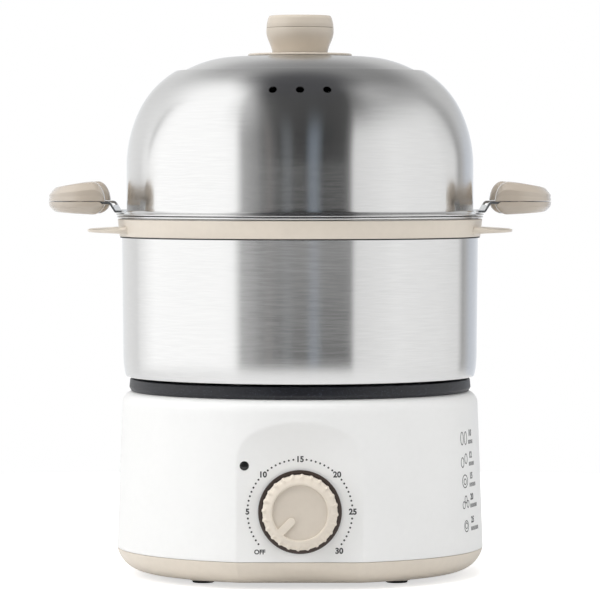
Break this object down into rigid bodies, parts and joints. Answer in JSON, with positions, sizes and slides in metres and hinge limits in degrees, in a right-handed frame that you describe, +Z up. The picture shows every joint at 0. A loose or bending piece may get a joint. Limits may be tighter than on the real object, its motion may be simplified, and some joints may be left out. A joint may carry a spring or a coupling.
{
  "type": "electric food steamer",
  "caption": "Countertop electric steamer: white round base with a timer dial, steel steaming pot, and a steel dome lid with a knob and side handles.",
  "frame": {"origin": "on the table under the pot's vertical axis", "axes": "+Z up along the pot's axis, -Y towards the front panel with the dial, +X to the right seen from the front"},
  "size_m": [0.3064, 0.2379, 0.3409],
  "materials": {
    "beige_plastic": "satin moulded",
    "white_plastic": "fine satin moulded",
    "black_coating": "speckled non-stick coating on cast aluminium",
    "brushed_steel": "brushed round the axis",
    "bright_steel": "bright pressed steel",
    "zinc_screws": "zinc plated",
    "dark_plastic": "dark moulded",
    "rubber": "matt",
    "silicone": "matt",
    "nylon": "moulded",
    "phenolic": "moulded"
  },
  "bodies": {
    "base": {"base_screw_front_left": "zinc_screws", "base_screw_front_right": "zinc_screws", "base_screw_rear_left": "zinc_screws", "base_screw_rear_right": "zinc_screws", "base_tray": "beige_plastic", "bracket_screw_left": "zinc_screws", "bracket_screw_right": "zinc_screws", "cord_gland": "dark_plastic", "dial_bezel": "dark_plastic", "dish_gasket": "silicone", "dish_screw_a": "zinc_screws", "dish_screw_b": "zinc_screws", "dish_screw_c": "zinc_screws", "foot_pad_front_left": "rubber", "foot_pad_front_right": "rubber", "foot_pad_rear_left": "rubber", "foot_pad_rear_right": "rubber", "heater_dish": "black_coating", "heating_element": "zinc_screws", "housing_shell": "white_plastic", "lamp_body": "nylon", "lamp_lens": "dark_plastic", "terminal_block": "nylon", "thermostat": "phenolic", "thermostat_bracket": "zinc_screws", "timer_body": "nylon", "timer_screw_lower": "zinc_screws", "timer_screw_upper": "zinc_screws"},
    "timer": {"timer_knob": "beige_plastic", "timer_shaft": "bright_steel"},
    "pot": {"pot_shell": "brushed_steel", "pot_collar": "beige_plastic"},
    "tray": {"steam_tray": "brushed_steel"},
    "lid": {"lid_shell": "brushed_steel", "knob_base": "beige_plastic", "lid_knob": "beige_plastic", "knob_cap": "beige_plastic", "knob_screw": "zinc_screws", "knob_washer": "silicone", "handle_bracket_left": "bright_steel", "handle_bracket_right": "bright_steel", "handle_lower_left": "beige_plastic", "handle_lower_right": "beige_plastic", "handle_screw_left_front": "zinc_screws", "handle_screw_left_rear": "zinc_screws", "handle_screw_right_front": "zinc_screws", "handle_screw_right_rear": "zinc_screws", "handle_upper_left": "beige_plastic", "handle_upper_right": "beige_plastic"}
  },
  "joints": [
    {"name": "timer_turn", "type": "hinge", "parent": "base", "child": "timer", "pos_m": [0, -0.10441, 0.04628], "axis": [0, 0.9992, -0.0406], "range_deg": [0, 270]},
    {"name": "pot_lift", "type": "slide", "parent": "base", "child": "pot", "axis": [0, 0, 1], "range_m": [0, 0.12]},
    {"name": "tray_lift", "type": "slide", "parent": "pot", "child": "tray", "axis": [0, 0, 1], "range_m": [0, 0.11]},
    {"name": "lid_lift", "type": "slide", "parent": "pot", "child": "lid", "axis": [0, 0, 1], "range_m": [0, 0.15]}
  ]
}
